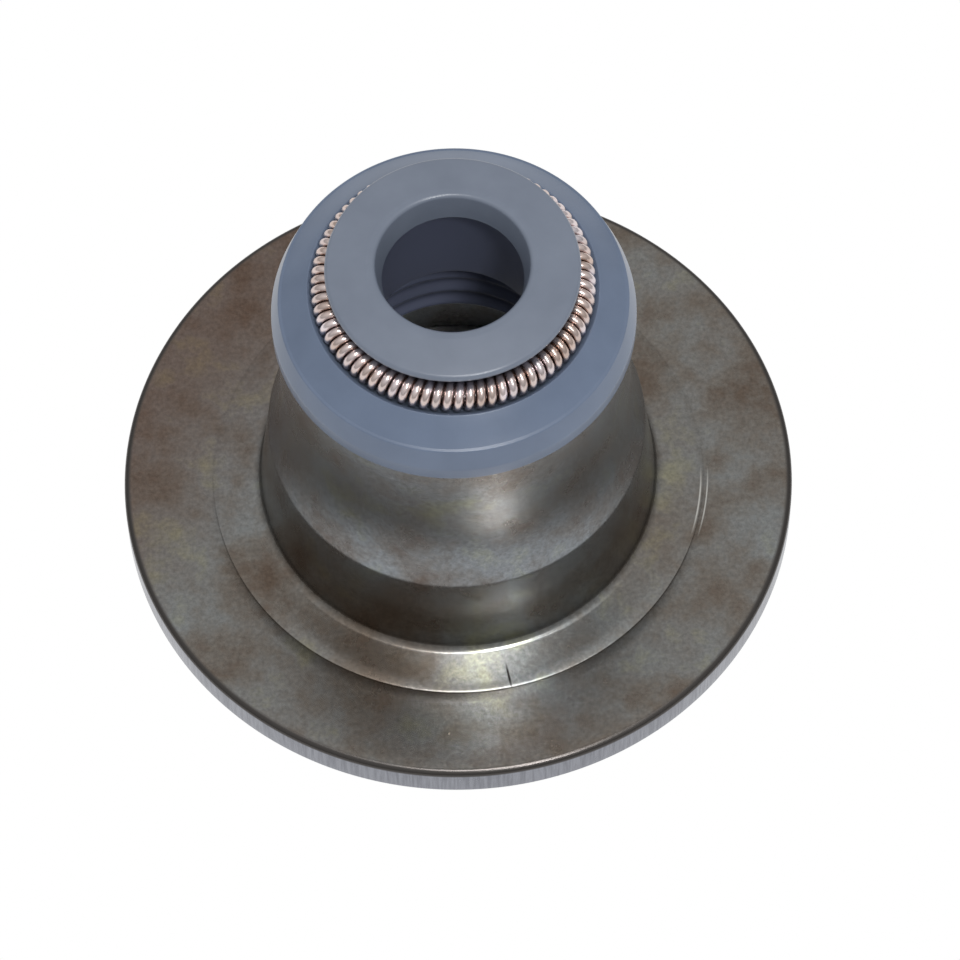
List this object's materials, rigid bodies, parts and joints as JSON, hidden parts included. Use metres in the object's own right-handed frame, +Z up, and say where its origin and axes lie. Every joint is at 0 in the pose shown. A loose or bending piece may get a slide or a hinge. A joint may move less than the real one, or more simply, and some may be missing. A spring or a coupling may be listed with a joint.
{
  "type": "valve stem seal",
  "caption": "Valve stem seal with a flanged steel case that seats the valve spring, a bonded rubber sealing lip and a garter spring round the lip.",
  "frame": {"origin": "on the valve stem's axis, at the underside of the flange", "axes": "+Z up along the valve stem, towards the sealing lip; X and Y lie in the flange"},
  "size_m": [0.032, 0.032, 0.0214],
  "materials": {
    "case_steel": "drawn sheet steel with a mottled brown-grey phosphate coat, worn bright at the edges",
    "seal_rubber": "moulded blue-grey fluoroelastomer, smooth and slightly dull",
    "spring_wire": "bright drawn spring wire with a faint pink tint"
  },
  "bodies": {
    "root": {"metal_case": "case_steel", "rubber_seal": "seal_rubber", "garter_spring": "spring_wire"}
  },
  "joints": []
}
